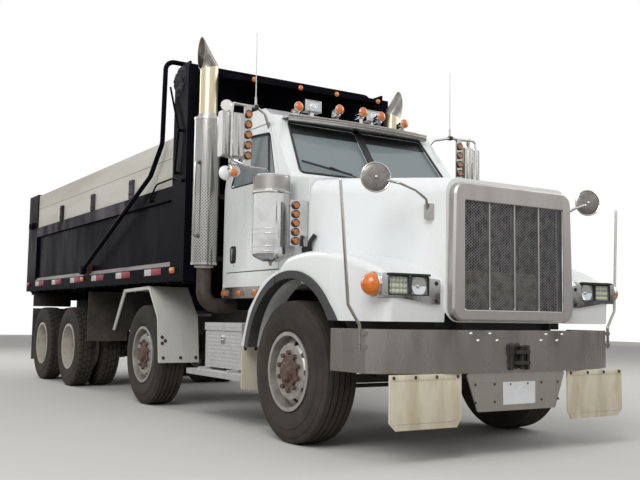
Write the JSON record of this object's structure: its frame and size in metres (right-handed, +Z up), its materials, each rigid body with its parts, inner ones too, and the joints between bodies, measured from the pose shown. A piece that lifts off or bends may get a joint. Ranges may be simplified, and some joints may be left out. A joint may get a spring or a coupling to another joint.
{
  "type": "dump truck",
  "caption": "Conventional-cab dump truck with a lift axle, twin rear drive axles, a tipping bed with tailgate and tarp arms, a tilting hood and opening doors.",
  "frame": {"origin": "on the ground, under the middle of the whole truck", "axes": "+X forward, +Y to the truck's left, +Z up"},
  "size_m": [9.57, 2.88, 3.6451],
  "materials": {
    "chassis_paint": "satin black enamel, dusty",
    "polished_steel": "polished steel, slightly scratched",
    "rubber": "moulded black rubber",
    "white_paint": "gloss white enamel",
    "glass": "tinted safety glass",
    "interior_vinyl": "grained vinyl",
    "amber_lens": "ribbed amber lens",
    "chrome": "chrome plate",
    "satin_steel": "satin stainless sheet",
    "dark_mesh": "expanded mesh",
    "tread_plate": "tread plate and polished tank",
    "lamp_glass": "clear lens",
    "bed_paint": "gloss black enamel",
    "side_board": "weathered pale boards",
    "tarp": "coated mesh tarp",
    "tyre": "dusty tyre rubber",
    "wheel_aluminium": "worn cast aluminium",
    "wheel_paint": "pale paint, dirty"
  },
  "bodies": {
    "root": {"chassis_rails": "chassis_paint", "front_axle": "chassis_paint", "rear_axles": "chassis_paint", "engine_and_radiator": "chassis_paint", "front_bumper": "polished_steel", "flaps_and_rear_flares": "rubber", "rear_fenders": "white_paint", "cab_shell": "white_paint", "cab_glass": "glass", "cab_interior": "interior_vinyl", "sun_visor": "polished_steel", "roof_lamps": "amber_lens", "air_cleaners": "chrome", "cowl_lamps": "amber_lens", "exhaust_stacks": "chrome", "stack_shields": "satin_steel", "tool_box_and_tank": "tread_plate", "lift_fenders": "tread_plate"},
    "hood": {"hood": "white_paint", "grille_surround": "satin_steel", "grille_mesh": "dark_mesh", "headlamps": "chrome", "headlamp_lenses": "lamp_glass", "turn_lamps": "amber_lens", "fender_flares": "rubber", "hood_mirrors": "polished_steel"},
    "door_left": {"door_left": "white_paint", "door_glass_left": "glass", "mirror_left": "polished_steel"},
    "door_right": {"door_right": "white_paint", "door_glass_right": "glass", "mirror_right": "polished_steel"},
    "knuckle_left": {"knuckle_left": "chassis_paint"},
    "knuckle_right": {"knuckle_right": "chassis_paint"},
    "tie_rod": {"tie_rod": "chassis_paint"},
    "bed": {"bed_body": "bed_paint", "side_boards": "side_board", "tarp_roller": "tarp"},
    "tailgate": {"tailgate": "bed_paint"},
    "tarp_arms": {"tarp_arms": "bed_paint"},
    "hoist_barrel": {"hoist_barrel": "bed_paint"},
    "hoist_stage_1": {"hoist_stage_1": "chrome"},
    "hoist_stage_2": {"hoist_stage_2": "chrome"},
    "hoist_stage_3": {"hoist_stage_3": "chrome"},
    "wheel_front_left": {"tyre_front_left": "tyre", "rim_front_left": "wheel_aluminium"},
    "wheel_front_right": {"tyre_front_right": "tyre", "rim_front_right": "wheel_aluminium"},
    "wheel_lift_left": {"tyre_lift_left": "tyre", "rim_lift_left": "wheel_aluminium"},
    "wheel_lift_right": {"tyre_lift_right": "tyre", "rim_lift_right": "wheel_aluminium"},
    "wheel_drive_1_left": {"tyre_drive_1_left": "tyre", "rim_drive_1_left": "wheel_paint"},
    "wheel_drive_1_right": {"tyre_drive_1_right": "tyre", "rim_drive_1_right": "wheel_paint"},
    "wheel_drive_2_left": {"tyre_drive_2_left": "tyre", "rim_drive_2_left": "wheel_paint"},
    "wheel_drive_2_right": {"tyre_drive_2_right": "tyre", "rim_drive_2_right": "wheel_paint"}
  },
  "joints": [
    {"name": "spin_front_left", "type": "hinge", "parent": "knuckle_left", "child": "wheel_front_left", "pos_m": [3.515, 1.06, 0.54], "axis": [0, 1, 0], "continuous": true},
    {"name": "spin_front_right", "type": "hinge", "parent": "knuckle_right", "child": "wheel_front_right", "pos_m": [3.515, -1.06, 0.54], "axis": [0, 1, 0], "continuous": true},
    {"name": "spin_lift_left", "type": "hinge", "parent": "root", "child": "wheel_lift_left", "pos_m": [0.305, 1.01, 0.53], "axis": [0, 1, 0], "continuous": true},
    {"name": "spin_lift_right", "type": "hinge", "parent": "root", "child": "wheel_lift_right", "pos_m": [0.305, -1.01, 0.53], "axis": [0, 1, 0], "continuous": true},
    {"name": "spin_drive_1_left", "type": "hinge", "parent": "root", "child": "wheel_drive_1_left", "pos_m": [-2.362, 0.924, 0.522], "axis": [0, 1, 0], "continuous": true},
    {"name": "spin_drive_1_right", "type": "hinge", "parent": "root", "child": "wheel_drive_1_right", "pos_m": [-2.362, -0.924, 0.522], "axis": [0, 1, 0], "continuous": true},
    {"name": "spin_drive_2_left", "type": "hinge", "parent": "root", "child": "wheel_drive_2_left", "pos_m": [-3.716, 0.924, 0.522], "axis": [0, 1, 0], "continuous": true},
    {"name": "spin_drive_2_right", "type": "hinge", "parent": "root", "child": "wheel_drive_2_right", "pos_m": [-3.716, -0.924, 0.522], "axis": [0, 1, 0], "continuous": true},
    {"name": "steer_left", "type": "hinge", "parent": "root", "child": "knuckle_left", "pos_m": [3.515, 0.9, 0.54], "axis": [0, 0, 1], "range_deg": [-35, 35]},
    {"name": "steer_right", "type": "hinge", "parent": "root", "child": "knuckle_right", "pos_m": [3.515, -0.9, 0.54], "axis": [0, 0, 1], "range_deg": [-35, 35]},
    {"name": "tie_rod_slide", "type": "slide", "parent": "root", "child": "tie_rod", "axis": [0, 1, 0], "range_m": [-0.13, 0.13]},
    {"name": "hood_tilt", "type": "hinge", "parent": "root", "child": "hood", "pos_m": [4.679, 0, 0.92], "axis": [0, 1, 0], "range_deg": [0, 65]},
    {"name": "door_left_hinge", "type": "hinge", "parent": "root", "child": "door_left", "pos_m": [2.901, 0.958, 1.9], "axis": [0, 0, -1], "range_deg": [0, 65]},
    {"name": "door_right_hinge", "type": "hinge", "parent": "root", "child": "door_right", "pos_m": [2.901, -0.958, 1.9], "axis": [0, 0, 1], "range_deg": [0, 65]},
    {"name": "bed_tip", "type": "hinge", "parent": "root", "child": "bed", "pos_m": [-4.365, 0, 1.1], "axis": [0, -1, 0], "range_deg": [0, 45]},
    {"name": "hoist_lean", "type": "hinge", "parent": "root", "child": "hoist_barrel", "pos_m": [1.315, 0, 0.98], "axis": [0, -1, 0], "range_deg": [0, 28.15]},
    {"name": "hoist_slide_1", "type": "slide", "parent": "hoist_barrel", "child": "hoist_stage_1", "axis": [0, 0, 1], "range_m": [0, 1.4174]},
    {"name": "hoist_slide_2", "type": "slide", "parent": "hoist_stage_1", "child": "hoist_stage_2", "axis": [0, 0, 1], "range_m": [0, 1.4174]},
    {"name": "hoist_slide_3", "type": "slide", "parent": "hoist_stage_2", "child": "hoist_stage_3", "axis": [0, 0, 1], "range_m": [0, 1.4174]},
    {"name": "tailgate_swing", "type": "hinge", "parent": "bed", "child": "tailgate", "pos_m": [-4.758, 0, 2.705], "axis": [0, 1, 0], "range_deg": [0, 60]},
    {"name": "tarp_arm_swing", "type": "hinge", "parent": "bed", "child": "tarp_arms", "pos_m": [-1.569, 0, 1.5], "axis": [0, -1, 0], "range_deg": [0, 115]}
  ],
  "couplings": [
    {"joint": "steer_right", "follows": "steer_left", "ratio": 1},
    {"joint": "tie_rod_slide", "follows": "steer_left", "m_per_rad": -0.18779},
    {"joint": "hoist_lean", "follows": "bed_tip", "ratio": 0.62111},
    {"joint": "hoist_slide_1", "follows": "bed_tip", "m_per_rad": 1.8009},
    {"joint": "hoist_slide_2", "follows": "bed_tip", "m_per_rad": 1.8009},
    {"joint": "hoist_slide_3", "follows": "bed_tip", "m_per_rad": 1.8009}
  ]
}
